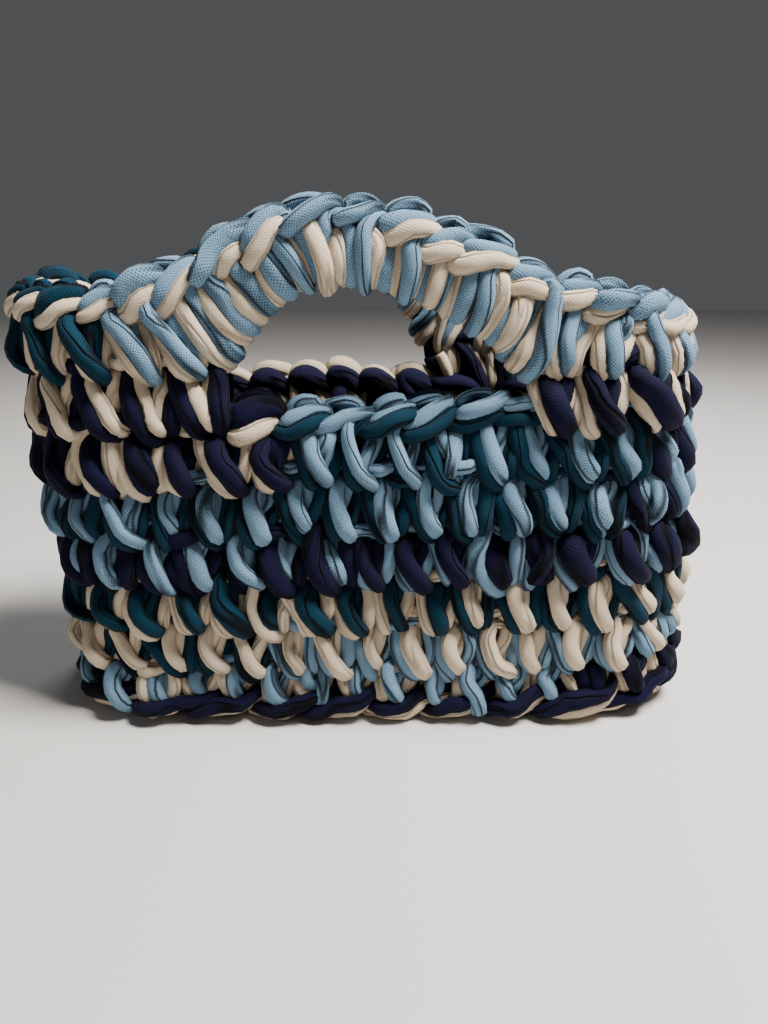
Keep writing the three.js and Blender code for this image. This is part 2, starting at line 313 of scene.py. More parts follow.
# %% A round of stitches on the wall
SAMPLES_PER_STITCH = 76
EVERY = slice(None)
NONE = slice(0, 0)
COVERED_LINK = (0.4, 1.0, 0.35)  # shares of out, up and rise left where the next round covers it
COVERED_GIRTH = 0.8
STRAND_GIRTH = (1.12, 1.04)
# how far a stitch strays: along and leaning in stitch widths, out and up in mm, the rest in shares
ALONG_SHIFT = 0.05
LEAN_SHIFT = 0.1
WIDTH_SHIFT = 0.09
OUT_SHIFT = 0.45
RISE_SHIFT = 0.8
GIRTH_SHIFT = 0.08
POINT_SHIFT = (0.022, 0.33)  # along and out, for each point of the way
TURN_SPACING = 30
TURN_SIZE = 0.45
SWELL_SPACING = 12
SWELL_SIZE = 0.13
SHARE_STEP = 0.002  # how far ahead and behind the wall's direction is read
STEEPEST = 0.62  # the stitches lean no more than this with an arch
MOST_SIGMAS = 1.7  # hand work is uneven, but no stitch is wild
dice = np.random.default_rng(11)


def throw(*shape):
    """Seeded normal numbers of spread one, with the rare far ones drawn in."""
    return np.clip(dice.normal(0, 1, shape), -MOST_SIGMAS, MOST_SIGMAS)


def wander(count, spacing, size):
    """Smooth random values along the yarn: random numbers every few samples, joined smoothly
    by half cosines."""
    knots = size * throw(count // spacing + 3)
    place = np.arange(count) / spacing
    low = place.astype(int)
    mix = (1 - np.cos(np.pi * (place - low))) / 2
    return knots[low] * (1 - mix) + knots[low + 1] * mix


def smooth_way(points, closed):
    """Catmull-Rom through the given rows, two samples to a step: each sample is the cubic whose
    slope at a row is half the way from the row before to the row after."""
    if closed:
        before, after = np.roll(points, 1, 0), np.roll(points, -1, 0)
        ends = (points, after, before, np.roll(points, -2, 0))
    else:
        padded = np.concatenate([points[:1], points, points[-1:]])
        ends = (padded[1:-2], padded[2:-1], padded[:-3], padded[3:])
    here, there, back, beyond = ends
    rows = []
    for step in (0.0, 0.5):
        rows.append(0.5 * (2 * here + (there - back) * step
                           + (2 * back - 5 * here + 4 * there - beyond) * step**2
                           + (3 * here - back - 3 * there + beyond) * step**3))
    way = np.stack(rows, 1).reshape(-1, points.shape[1])
    return way if closed else np.concatenate([way, points[-1:]])


def stitch_rows(count, covered):
    """The stitch table once for each stitch, with seeded shifts: every stitch is moved, widened
    and leaned a little by random amounts of its own. A covered link is pulled flat."""
    rows = np.repeat(np.concatenate([STITCH, LINK])[None], count, 0)
    rows[covered, len(STITCH) :, 1:4] *= COVERED_LINK
    rows[covered, len(STITCH) :, 7] *= COVERED_GIRTH
    shift = throw(count, 6)
    rows[..., 0] += ALONG_SHIFT * shift[:, :1] + LEAN_SHIFT * shift[:, 5:6] * (rows[..., 2] - 0.5)
    rows[..., 0] *= 1 + WIDTH_SHIFT * shift[:, 1:2]
    rows[..., 1] += OUT_SHIFT * shift[:, 2:3]
    rows[..., 3] += RISE_SHIFT * shift[:, 3:4]
    rows[..., 7] *= 1 + GIRTH_SHIFT * shift[:, 4:5]
    rows[..., :2] += throw(*rows[..., :2].shape) * POINT_SHIFT
    return rows


def place_on_wall(rows, level, low_share, high_share, low_width, high_width):
    """Carries stitch rows to the wall. Between the two seams a point moves evenly from the
    lower to the upper one; above and below it goes on along the line square to the seam."""
    along, out, up, rise = (rows[..., i] for i in range(4))
    mix = np.clip(up, 0, 1)
    share = low_share[:, None] + (high_share - low_share)[:, None] * mix
    width = low_width[:, None] + (high_width - low_width)[:, None] * mix
    share = share - along * width
    levels = level - 1 + mix
    middle, outward = wall_middle(levels, share)
    ahead, _ = wall_middle(levels, share - SHARE_STEP)
    behind, _ = wall_middle(levels, share + SHARE_STEP)
    right = unit(ahead - behind)
    right[..., 2] = np.clip(right[..., 2], -STEEPEST, STEEPEST)
    right = unit(right)
    upward = unit(np.cross(outward, right))
    extra = rise + (up - mix) * ROUND_HEIGHT
    point = middle + outward * out[..., None] + upward * extra[..., None]
    parting = right * rows[..., 4:5] + outward * rows[..., 5:6] + upward * rows[..., 6:7]
    return point, parting, rows[..., 7]


def two_strands(point, parting, girth, closed, samples):
    """The two strands of a yarn line: the line is smoothed and walked at even steps, and each
    strand stands off it by the parting, turned about the line by a slow random angle."""
    flat = np.concatenate([point, parting, girth[..., None]], -1).reshape(-1, 7)
    way = smooth_way(flat, closed)
    if closed:
        way = np.concatenate([way, way[:1]])
    place = np.arange(len(way)) / 2
    steps = np.linalg.norm(np.diff(way[:, :3], axis=0), axis=1)
    run = np.concatenate([[0], np.cumsum(steps)])
    even = np.linspace(0, run[-1], samples + 1)[: samples if closed else samples + 1]
    walked = np.stack([np.interp(even, run, way[:, i]) for i in range(7)], 1)
    place = np.interp(even, run, place)
    centre, parting, girth = walked[:, :3], walked[:, 3:6], walked[:, 6]
    tangent = direction(centre, closed)
    parting = parting - (parting * tangent).sum(1, keepdims=True) * tangent
    turn = wander(len(centre), TURN_SPACING, TURN_SIZE)[:, None]
    parting = parting * np.cos(turn) + np.cross(tangent, parting) * np.sin(turn)
    strands = []
    for side, share in zip((1, -1), STRAND_GIRTH):
        swell = 1 + wander(len(centre), SWELL_SPACING, SWELL_SIZE)
        strands.append((centre + side * parting, YARN_RADIUS * share * girth * swell))
    return strands, place


# %% [markdown]
# Every line of yarn is kept with the piece that each of its samples belongs to and the colour
# of its two strands there. The maker changed colour many times along the spiral, so each round
# has a short list of where a new pair of colours starts.

# %% Colours along the spiral
COLOURS = ("cream", "sky", "navy", "teal")
COLOUR_GIRTH = (0.98, 0.98, 1.15, 1.04)
BUNCHED_ROUNDS = (4, 6)
BUNCHED_GIRTH = 1.12
NAME_TYPE = "<U24"
# for each round: the share of the way around where a pair starts, and the pair
COLOUR_CHANGES = {
    "base": [(0.0, "navy", "cream")],
    1: [(0.0, "navy", "cream"), (0.121, "sky", "cream")],
    2: [(0.0, "cream", "sky"), (0.306, "cream", "teal")],
    3: [(0.0, "cream", "teal"), (0.19, "teal", "cream")],
    4: [(0.0, "navy", "sky"), (0.27, "sky", "navy")],
    5: [(0.0, "sky", "navy"), (0.095, "sky", "teal")],
    6: [(0.0, "sky", "navy"), (0.06, "sky", "teal"), (0.305, "navy", "cream"),
        (0.55, "cream", "navy")],
    7: [(0.0, "navy", "cream"), (0.25, "cream", "navy"), (0.86, "cream", "sky")],
    8: [(0.0, "sky", "cream"), (0.41, "teal", "cream"), (0.735, "sky", "cream")],
}
lines = []


def colours_at(round_name, share):
    """The colour numbers of both strands at each share, from the round's list of changes."""
    changes = COLOUR_CHANGES[round_name]
    starts = [change[0] for change in changes]
    pick = np.searchsorted(starts, share % 1, side="right") - 1
    pairs = np.array([[COLOURS.index(name) for name in change[1:]] for change in changes])
    return pairs[pick]


def add_line(round_name, strands, labels, share, closed):
    """Keeps both strands of a line, with each sample's piece and colour. A colour's yarn has a
    thickness of its own, and the navy is bunched up in some rounds."""
    pairs = colours_at(round_name, share)
    for side, (points, radius) in enumerate(strands):
        colour = pairs[:, side]
        if round_name in BUNCHED_ROUNDS:
            radius = radius * np.where(colour == COLOURS.index("navy"), BUNCHED_GIRTH, 1)
        lines.append({"points": points, "radius": radius * np.array(COLOUR_GIRTH)[colour],
                      "labels": labels, "colour": colour, "closed": closed})


def name_samples(samples, name):
    """The name of one piece at every sample."""
    return np.full(samples, name, dtype=NAME_TYPE)


def of_stitch(values, place, rows):
    """The value of the stitch that each sample belongs to, from its place along the rows."""
    number = np.minimum((place // rows).astype(int), len(values) - 1)
    return np.asarray(values)[number]


# %% [markdown]
# The closed rounds are rings of 36 stitches, each half a stitch round from the one below. The
# links on top of the sixth round show as the lower edge of each hand opening, so they are
# pieces of their own there.

# %% The closed rounds
STITCH_ROWS = len(STITCH) + len(LINK)


def in_link(place):
    """True where a sample lies in the link that follows its stitch."""
    return place % STITCH_ROWS >= len(STITCH) - 0.5


def in_opening(share):
    """The name of the hand opening at each share, or an empty text."""
    names = np.full(share.shape, "", dtype=NAME_TYPE)
    for name, spans in HANDLES.items():
        names[(share % 1 > spans["start"]) & (share % 1 < spans["end"])] = name
    return names


FOOT_LIFT = 6.0  # the first round stands on the braid around the base
BACK_LEG = slice(len(STITCH) + 8, len(STITCH) + 12)  # the rows of a link's back leg
BACK_EDGE_PARTING = (0.4, 0.6, 2.4)  # the first strand lies on top along the back opening's edge


def closed_round(level):
    """One ring of stitches between two seams."""
    width = 1 / STITCH_COUNT
    share = (np.arange(STITCH_COUNT) + 0.5 * (level % 2)) * width
    widths = np.full(STITCH_COUNT, width)
    samples = STITCH_COUNT * SAMPLES_PER_STITCH
    opening = in_opening(share)
    under_rim = level == CLOSED_ROUNDS
    rows = stitch_rows(STITCH_COUNT, opening == "" if under_rim else EVERY)
    if level == 1:
        rows[..., 3] += FOOT_LIFT * (1 - rows[..., 2])
    if under_rim:
        rows[opening == "back", BACK_LEG, 4:7] = BACK_EDGE_PARTING
    placed = place_on_wall(rows, level, share, share, widths, widths)
    strands, place = two_strands(*placed, True, samples)
    sample_share = of_stitch(share, place, STITCH_ROWS)
    labels = name_samples(samples, f"round_{level}")
    if under_rim:
        names = in_opening(sample_share)
        for name in HANDLES:
            labels[(names == name) & in_link(place)] = f"opening_edge_{name}"
    add_line(level, strands, labels, sample_share, True)


for level in range(1, CLOSED_ROUNDS + 1):
    closed_round(level)
print("lines of yarn", len(lines))

# %% [markdown]
# The seventh round is worked only beside the two hand openings. Between them the yarn ran on as
# a loose chain, which is the core of each handle.

# %% The seventh round and the cores of the handles
def end_spans():
    """The stitches beside the openings: the left end and the right end."""
    front, back = HANDLES["front"], HANDLES["back"]
    return {"left": (front["end"], back["start"]), "right": (back["end"] - 1, front["start"])}


for side, (start, end) in end_spans().items():
    count = round((end - start) * STITCH_COUNT)
    share = start + (np.arange(count) + 0.5) * (end - start) / count
    widths = np.full(count, (end - start) / count)
    samples = count * SAMPLES_PER_STITCH
    placed = place_on_wall(stitch_rows(count, EVERY), CORE_LEVEL, share, share, widths, widths)
    labels = name_samples(samples + 1, f"round_7_{side}")
    strands, place = two_strands(*placed, False, samples)
    add_line(CORE_LEVEL, strands, labels, of_stitch(share, place, STITCH_ROWS), False)

CORE_POINTS = 40
CORE_SAMPLES = 90
CORE_TUCK = 0.008  # the core's ends run on into the fabric by this share
CORE_PARTING = 1.6
CORE_GIRTH = 0.85
for name, spans in HANDLES.items():
    share = np.linspace(spans["start"] - CORE_TUCK, spans["end"] + CORE_TUCK, CORE_POINTS)
    middle, outward = wall_middle(np.full_like(share, CORE_LEVEL), share)
    parting = np.broadcast_to((0.0, 0.0, CORE_PARTING), middle.shape)
    strands, _ = two_strands(middle, parting, np.full(len(share), CORE_GIRTH), False, CORE_SAMPLES)
    labels = name_samples(CORE_SAMPLES + 1, f"handle_{name}")
    along_core = np.linspace(share[0], share[-1], CORE_SAMPLES + 1)
    add_line(CORE_LEVEL, strands, labels, along_core, False)
print("lines of yarn", len(lines))

# %% [markdown]
# The eighth round closes the rim. Beside the openings it is plain single crochet, and over each
# core nine stitches are packed closely, which makes the handle thick and round. On the arch
# they fan out, so their tops take more of the rim than their feet take of the core.

# %% The eighth round, the handles and the rim
HANDLE_STITCHES = 9
FRONT_RIGHT_STITCHES = 5
FAN = 0.022  # how far a handle's tops reach past its feet at each end


def eighth_round():
    """One ring of stitches with a share of the way for each foot and each top. The last two
    numbers of each part shift the start and the end of its tops."""
    ends = end_spans()
    front, back = HANDLES["front"], HANDLES["back"]
    counts = [round((e - s) * STITCH_COUNT) for s, e in (ends["left"], ends["right"])]
    parts = [
        ("round_8_right", 0.0, front["start"], FRONT_RIGHT_STITCHES, 0, -FAN),
        ("handle_front", front["start"], front["end"], HANDLE_STITCHES, -FAN, FAN),
        ("round_8_left", front["end"], back["start"], counts[0], FAN, -FAN),
        ("handle_back", back["start"], back["end"], HANDLE_STITCHES, -FAN, FAN),
        ("round_8_right", back["end"], 1.0, counts[1] - FRONT_RIGHT_STITCHES, FAN, 0),
    ]
    names, low, high, low_width, high_width = [], [], [], [], []
    for name, start, end, count, from_shift, to_shift in parts:
        place = (np.arange(count) + 0.5) / count
        top_start, top_end = start + from_shift, end + to_shift
        names += [name] * count
        low += list(start + (end - start) * place)
        high += list(top_start + (top_end - top_start) * place)
        low_width += [(end - start) / count] * count
        high_width += [(top_end - top_start) / count] * count
    return names, np.array(low), np.array(high), np.array(low_width), np.array(high_width)


names, low, high, low_width, high_width = eighth_round()
rows = stitch_rows(len(names), NONE)
on_handle = np.array([name.startswith("handle") for name in names])
rows[on_handle, : len(STITCH)] += WRAP - STITCH
placed = place_on_wall(rows, RIM_LEVEL, low, high, low_width, high_width)
samples = len(names) * SAMPLES_PER_STITCH
strands, place = two_strands(*placed, True, samples)
labels = of_stitch(np.array(names, dtype=NAME_TYPE), place, STITCH_ROWS)
labels[in_link(place)] = "rim_braid"
add_line(RIM_LEVEL, strands, labels, of_stitch(high, place, STITCH_ROWS), True)
print("stitches in the last round", len(names))

# %% [markdown]
# The base is crocheted the same way, flat, in two oblong rounds about a straight chain. Their
# right side faces down. A chain laid around their edge shows from outside under the wall.

# %% The base and the braid around it
BASE_ROUND = 21.5
BASE_MIDDLE = 8.5
BASE_STITCHES = {1: 28, 2: 34}  # for each ring
BASE_RINGS = len(BASE_STITCHES)
BASE_THIN = 0.72


def place_on_base(rows, ring, share, width):
    """Carries stitch rows to the flat base: up the stitch is outward over the floor, and the
    front of the stitch faces down."""
    along, out, up, rise = (rows[..., i] for i in range(4))
    inner = column("depth", np.zeros(1)) * BASE_DEPTH / 2 - FABRIC / 2 - BASE_RINGS * BASE_ROUND
    outward_way = (ring - 1 + up) * BASE_ROUND + rise
    half_depth = np.maximum(inner + outward_way, 0.5)
    reach = BASE_LENGTH / 2 - FABRIC / 2 - BASE_RINGS * BASE_ROUND + outward_way
    spot = share[:, None] - along * width
    reach = np.maximum(reach, half_depth)
    flat, out_flat = oblong(reach, reach, half_depth, spot)
    curl = END_CURL * np.maximum(0, flat[..., 0] / BASE_LENGTH * 2) ** CURL_POWER
    height = BASE_MIDDLE - out * BASE_THIN + curl
    point = np.concatenate([flat, height[..., None]], -1)
    outward = np.concatenate([out_flat, np.zeros_like(height)[..., None]], -1)
    down = np.zeros_like(point)
    down[..., 2] = -1
    right = np.cross(outward, down) * -1
    parting = right * rows[..., 4:5] + down * rows[..., 5:6] + outward * rows[..., 6:7]
    return point, parting, rows[..., 7]


for ring_number, count in BASE_STITCHES.items():
    share = (np.arange(count) + 0.5 * ring_number) / count
    placed = place_on_base(stitch_rows(count, EVERY), ring_number, share, 1 / count)
    samples = count * SAMPLES_PER_STITCH
    labels = name_samples(samples, "base_panel")
    strands, place = two_strands(*placed, True, samples)
    add_line("base", strands, labels, of_stitch(share, place, STITCH_ROWS), True)


# as the stitch's table, but with rise counted from the floor
EDGE_LINK = np.array([
    (0.36, 4, 0, 11, 0.2, 1, 1.4, 0.8),
    (0.12, 6.2, 0, 10.2, 0.2, 1.2, 1.8, 1.05),
    (-0.22, 7.2, 0, 8.2, 0.3, 1.4, 2.1, 1.2),
    (-0.58, 7.2, 0, 6.4, 0.3, 1.6, 2, 1.2),
    (-0.88, 5.8, 0, 5.4, 0.4, 1.6, 1.4, 1),
    (-1.02, 2.8, 0, 5.2, 1.2, 0.6, 1.6, 0.85),
    (-0.98, -0.4, 0, 5.8, 1.2, 0, 2, 0.85),
    (-0.7, -1.8, 0, 7.6, 0.4, 0.4, 2.4, 1),
    (-0.3, -1.4, 0, 9.4, 0.2, 0.4, 2.4, 1),
    (0, 1, 0, 10.4, 0.4, 0.6, 2, 0.8),
], dtype=float)
EDGE_LINKS = 24
EDGE_SAMPLES = 34


def edge_braid():
    """A chain around the base: links only, with one leg of each outside."""
    share = (np.arange(EDGE_LINKS) + 0.25) / EDGE_LINKS
    rows = np.repeat(EDGE_LINK[None], EDGE_LINKS, 0)
    rows[..., 3] -= SEAM_START
    rows[..., :2] += throw(*rows[..., :2].shape) * POINT_SHIFT
    rows[..., 7] *= 1 + GIRTH_SHIFT * throw(EDGE_LINKS, 1)
    widths = np.full(EDGE_LINKS, 1 / EDGE_LINKS)
    placed = place_on_wall(rows, 1, share, share, widths, widths)
    samples = EDGE_LINKS * EDGE_SAMPLES
    labels = name_samples(samples, "base_edge")
    strands, place = two_strands(*placed, True, samples)
    add_line("base", strands, labels, of_stitch(share, place, len(EDGE_LINK)), True)


edge_braid()
print("lines of yarn", len(lines))

# %% [markdown]
# Drawn like this the strands run through each other. All the lines are now let go together:
# wherever two strands are closer than a share of touching they push each other apart, while
# each line keeps its own spacing and a gentle pull to where it was laid. This is position based
# dynamics, with the pairs found on a grid of cells. Soft yarn presses together by about a
# quarter, which the share allows. The steps are a fixed number, so overlaps become fewer and
# less deep but don't end, and the line printed gives the deepest beyond that share.

# %% Settling the yarn
CELL = 7.4
SQUEEZE = 0.76  # how near two strands may come, as a share of touching
SQUEEZE_PAIR = 0.7  # the same for the two that are held together
PAIR_REACH = 6  # and for how many samples along they count as together
SETTLE_STEPS = 70
PAIR_EVERY = 8
FLOOR_CLEARANCE = 0.1
MOST_MOVE = 5.0
NEAR_SHARE = 1.25  # pairs are kept a little beyond touching, as they move before the next search
SAME_STRAND_GAP = 4
PUSH_SHARE = 0.9
BEND_SHARE = 0.22
HOME_SHARE = 0.03


def neighbour_pairs(points, reach):
    """Pairs of points closer than reach: points are sorted by the cell of a grid that they lie
    in, and each is compared with those of its own and of half the cells around it."""
    cell = np.floor(points / CELL).astype(np.int64)
    cell -= cell.min(0) - 1
    size = cell.max(0) + 2
    key = (cell[:, 0] * size[1] + cell[:, 1]) * size[2] + cell[:, 2]
    order = np.argsort(key, kind="stable")
    sorted_key = key[order]
    firsts, seconds = [], []
    offsets = [(x, y, z) for x in (-1, 0, 1) for y in (-1, 0, 1) for z in (-1, 0, 1)
               if (x, y, z) >= (0, 0, 0)]
    for x, y, z in offsets:
        wanted = key + (x * size[1] + y) * size[2] + z
        start = np.searchsorted(sorted_key, wanted, "left")
        end = np.searchsorted(sorted_key, wanted, "right")
        many = end - start
        first = np.repeat(np.arange(len(points)), many)
        within = np.arange(many.sum()) - np.repeat(np.cumsum(many) - many, many)
        second = order[np.repeat(start, many) + within]
        if (x, y, z) == (0, 0, 0):
            keep = first < second
            first, second = first[keep], second[keep]
        firsts.append(first)
        seconds.append(second)
    first, second = np.concatenate(firsts), np.concatenate(seconds)
    near = ((points[first] - points[second]) ** 2).sum(1) < reach**2
    return first[near], second[near]


def settle():
    """Moves all strands together, step by step: the push of every touching pair, a share of the
    smoothing along each strand, then the pull home, with every move held under a limit."""
    points = np.concatenate([line["points"] for line in lines])
    radius = np.concatenate([line["radius"] for line in lines])
    home = points.copy()
    counts = [len(line["points"]) for line in lines]
    starts = np.concatenate([[0], np.cumsum(counts)])
    strand = np.repeat(np.arange(len(lines)), counts)
    before = np.arange(len(points)) - 1
    after = np.arange(len(points)) + 1
    for line, start, end in zip(lines, starts[:-1], starts[1:]):
        before[start] = end - 1 if line["closed"] else start
        after[end - 1] = start if line["closed"] else end - 1
    for step in range(SETTLE_STEPS):
        if step % PAIR_EVERY == 0:
            first, second = neighbour_pairs(points, 2 * YARN_RADIUS * NEAR_SHARE)
            apart = np.abs((first - starts[strand[first]]) - (second - starts[strand[second]]))
            apart = np.minimum(apart, np.take(counts, strand[first]) - apart)
            keep = (strand[first] != strand[second]) | (apart > SAME_STRAND_GAP)
            first, second = first[keep], second[keep]
            beside = (strand[first] // 2 == strand[second] // 2) & (apart[keep] < PAIR_REACH)
            squeeze = np.where(beside, SQUEEZE_PAIR, SQUEEZE)
        gap = points[second] - points[first]
        distance = np.maximum(np.sqrt((gap**2).sum(1)), 1e-6)
        wanted = (radius[first] + radius[second]) * squeeze
        push = np.where(distance < wanted, (wanted - distance) / distance, 0)[:, None] * gap
        move = np.zeros_like(points)
        for axis in range(3):
            move[:, axis] = (np.bincount(second, push[:, axis], len(points))
                             - np.bincount(first, push[:, axis], len(points)))
        touches = (np.bincount(second, push[:, 0] != 0, len(points))
                   + np.bincount(first, push[:, 0] != 0, len(points)))
        points = points + PUSH_SHARE * move / np.maximum(touches, 1)[:, None]
        bend = (points[before] + points[after]) / 2 - points
        points = points + BEND_SHARE * bend
        points = points + HOME_SHARE * (home - points)
        off = points - home
        far = np.linalg.norm(off, axis=1, keepdims=True)
        points = home + off * np.minimum(1, MOST_MOVE / np.maximum(far, 1e-9))
        points[:, 2] = np.maximum(points[:, 2], radius + FLOOR_CLEARANCE)
    moved = np.linalg.norm(points - home, axis=1)
    print("settled in", SETTLE_STEPS, "steps, mean move mm", round(float(moved.mean()), 2),
          "pairs", len(first), "deepest overlap mm", round(float((wanted - distance).max()), 2))
    for line, start, end in zip(lines, starts[:-1], starts[1:]):
        line["points"] = points[start:end]


settle()

# %% [markdown]
# The yarn is jersey: a strip of knitted cotton that has rolled up on itself. Close up it shows
# fine columns of knit stitches along the strand, and long soft creases where the strip rolled.
# Both are drawn from the piece's own UV map, whose u runs round the strand and v along it, in metres.
# Both sink in the height, and the knit's holes and the creases are also darkened in the colour as
# painted shade. A shader node group holds them, and each colour of yarn uses it with its own depth.

# %% The jersey shader group
def add_node(tree, kind, inputs=None, **settings):
    """A node with its settings and its unlinked input values."""
    node = tree.nodes.new(kind)
    for key, value in settings.items():
        setattr(node, key, value)
    for key, value in (inputs or {}).items():
        node.inputs[key].default_value = value
    return node


def math_node(tree, operation, first, second=None):
    """One step of arithmetic between sockets or numbers."""
    node = tree.nodes.new("ShaderNodeMath")
    node.operation = operation
    for index, value in enumerate((first, second)):
        if value is None:
            continue
        if isinstance(value, (int, float)):
            node.inputs[index].default_value = value
        else:
            tree.links.new(value, node.inputs[index])
    return node.outputs[0]


COLUMN_WIDTH = 2 * math.pi * YARN_RADIUS / 16  # a whole number of columns around a strand
COURSE_HEIGHT = 1.15
HOLE_START = 0.15  # a hole opens where the product of the two waves is above this
CREASE_SCALE = (130.0, 11.0, 1.0)
CREASE_WIDTH = 0.045
FUZZ_SCALE = 2600.0
HEIGHT_SHARES = {"swell": 1.4, "hole": 0.3, "fuzz": 0.2, "crease": 1.2}
# shares for the colour: random tone from the fuzz, and painted shade in the knit's holes and the
# creases; DARKEST is the least share of the colour that the painted shade leaves
SHADE_SHARES = {"fuzz": 0.6, "hole": 0.55, "crease": 0.5}
DARKEST = 0.1


def jersey_group():
    """Jersey knit on a rolled strand: a sine across the columns times a sine along the courses,
    and where that product is high there is a small hole, sunk in the height and darkened in the
    colour as painted shade, so the holes lie in slanted rows. Creases are thin lines where noise
    stretched along the strand is near a half, sunk and darkened as painted shade too, and fuzz is
    fine noise that varies the tone."""
    tree = bpy.data.node_groups.new("jersey knit", "ShaderNodeTree")

    def step(*parts):
        """One step of arithmetic in this group."""
        return math_node(tree, *parts)

    for name, value in (("Column Width", COLUMN_WIDTH * MM), ("Course Height", COURSE_HEIGHT * MM),
                        ("Crease Depth", 1.0), ("Knit Depth", 1.0), ("Shade Depth", 0.4)):
        socket = tree.interface.new_socket(name, in_out="INPUT", socket_type="NodeSocketFloat")
        socket.default_value = value
    for name in ("Height", "Shade"):
        tree.interface.new_socket(name, in_out="OUTPUT", socket_type="NodeSocketFloat")
    start = add_node(tree, "NodeGroupInput")
    end = add_node(tree, "NodeGroupOutput")
    uv = add_node(tree, "ShaderNodeUVMap", uv_map="yarn")
    parts = add_node(tree, "ShaderNodeSeparateXYZ")
    tree.links.new(uv.outputs[0], parts.inputs[0])
    across, along = parts.outputs[0], parts.outputs[1]
    column = step("DIVIDE", across, start.outputs["Column Width"])
    course = step("DIVIDE", along, start.outputs["Course Height"])
    waves = [step("SINE", step("MULTIPLY", place, 2 * math.pi))
             for place in (column, course)]
    hole = step("SUBTRACT", step("MULTIPLY", waves[0], waves[1]), HOLE_START)
    hole = step("MULTIPLY", step("MAXIMUM", hole, 0.0), start.outputs["Knit Depth"])
    stretch = add_node(tree, "ShaderNodeMapping", {"Scale": CREASE_SCALE})
    tree.links.new(uv.outputs[0], stretch.inputs["Vector"])
    fold = add_node(tree, "ShaderNodeTexNoise", {"Scale": 1.0, "Detail": 1.0})
    tree.links.new(stretch.outputs[0], fold.inputs["Vector"])
    from_fold = step("ABSOLUTE", step("SUBTRACT", fold.outputs[0], 0.5))
    line = step("SUBTRACT", 1.0, step("DIVIDE", from_fold, CREASE_WIDTH))
    line = step("MAXIMUM", line, 0.0)
    line = step("MULTIPLY", line, start.outputs["Crease Depth"])
    place = add_node(tree, "ShaderNodeTexCoord")
    fuzz = add_node(tree, "ShaderNodeTexNoise", {"Scale": FUZZ_SCALE, "Detail": 2.0})
    tree.links.new(place.outputs["Object"], fuzz.inputs["Vector"])
    fuzzy = step("SUBTRACT", fuzz.outputs[0], 0.5)
    forms = {"hole": hole, "fuzz": fuzzy, "crease": line, "swell": fold.outputs[0]}

    def sized(name, shares):
        """One of the forms times its share."""
        return step("MULTIPLY", forms[name], shares[name])

    height = step("ADD", sized("swell", HEIGHT_SHARES), sized("fuzz", HEIGHT_SHARES))
    height = step("SUBTRACT", height, sized("hole", HEIGHT_SHARES))
    height = step("SUBTRACT", height, sized("crease", HEIGHT_SHARES))
    tree.links.new(height, end.inputs["Height"])
    # the shade is random tone from the fuzz, less painted shade in the knit's holes and the creases
    shade = step("SUBTRACT", sized("fuzz", SHADE_SHARES), sized("hole", SHADE_SHARES))
    shade = step("SUBTRACT", shade, sized("crease", SHADE_SHARES))
    shade = step("MULTIPLY", shade, start.outputs["Shade Depth"])
    shade = step("MAXIMUM", step("ADD", shade, 1.0), DARKEST)
    tree.links.new(shade, end.inputs["Shade"])
    return tree


jersey = jersey_group()
print("group", jersey.name, "with", len(jersey.nodes), "nodes")

# %% The four colours of yarn
ROUGH_SPAN = {"To Min": 0.95, "To Max": 0.8}
BUMP = {"Strength": 0.8, "Distance": 0.0012}
SPECULAR = 0.14
SHEEN_ROUGHNESS = 0.4
# shade is how strongly each colour takes the group's painted shade in holes and creases and its fuzz
# tone
YARN_COLOURS = {
    "cream": {"base": (0.60, 0.49, 0.36), "sheen": 0.08, "shade": 0.55},
    "sky": {"base": (0.16, 0.275, 0.39), "sheen": 0.06, "shade": 2.0},
    "navy": {"base": (0.002, 0.002, 0.02), "sheen": 0.015, "shade": 2.2},
    "teal": {"base": (0.001, 0.024, 0.045), "sheen": 0.02, "shade": 2.2},
}


def jersey_material(name, look):
    """Matt cotton jersey: the colour times the group's shade, which is painted shade in the knit's
    holes and creases with random tone from the fuzz, and the group's height as a bump.
    """
    material = bpy.data.materials.new(f"{name} jersey")
    material.use_nodes = True
    tree = material.node_tree
    surface = tree.nodes["Principled BSDF"]
    group = add_node(tree, "ShaderNodeGroup", node_tree=jersey)
    group.inputs["Shade Depth"].default_value = look["shade"]
    colour = add_node(tree, "ShaderNodeMix", data_type="RGBA", blend_type="MULTIPLY")
    colour.inputs["Factor"].default_value = 1.0
    colour.inputs[6].default_value = (*look["base"], 1.0)
    tree.links.new(group.outputs["Shade"], colour.inputs[7])
    tree.links.new(colour.outputs[2], surface.inputs["Base Color"])
    rough = add_node(tree, "ShaderNodeMapRange", ROUGH_SPAN)
    tree.links.new(group.outputs["Height"], rough.inputs["Value"])
    tree.links.new(rough.outputs["Result"], surface.inputs["Roughness"])
    bump = add_node(tree, "ShaderNodeBump", BUMP)
    tree.links.new(group.outputs["Height"], bump.inputs["Height"])
    tree.links.new(bump.outputs["Normal"], surface.inputs["Normal"])
    surface.inputs["Specular IOR Level"].default_value = SPECULAR
    surface.inputs["Sheen Weight"].default_value = look["sheen"]
    surface.inputs["Sheen Roughness"].default_value = SHEEN_ROUGHNESS
    return material


materials = [jersey_material(name, YARN_COLOURS[name]) for name in COLOURS]
print("materials", [m.name for m in materials])

# %% [markdown]
# A strand becomes a tube. Its section is a soft round that is a little flat towards the other
# strand of the pair, and the two strands of a pair give each other a steady side to start from,
# so the knit runs straight along them. The section is carried along the whole path at once.

# %% Tubes from the strands
TUBE_SIDES = 8
FLAT_TO_PARTNER = 0.08
OVAL = (1.1, 0.9)  # wider along the fabric than through it
FOLD_SPACING = 9
FOLD_SIZE = 0.065


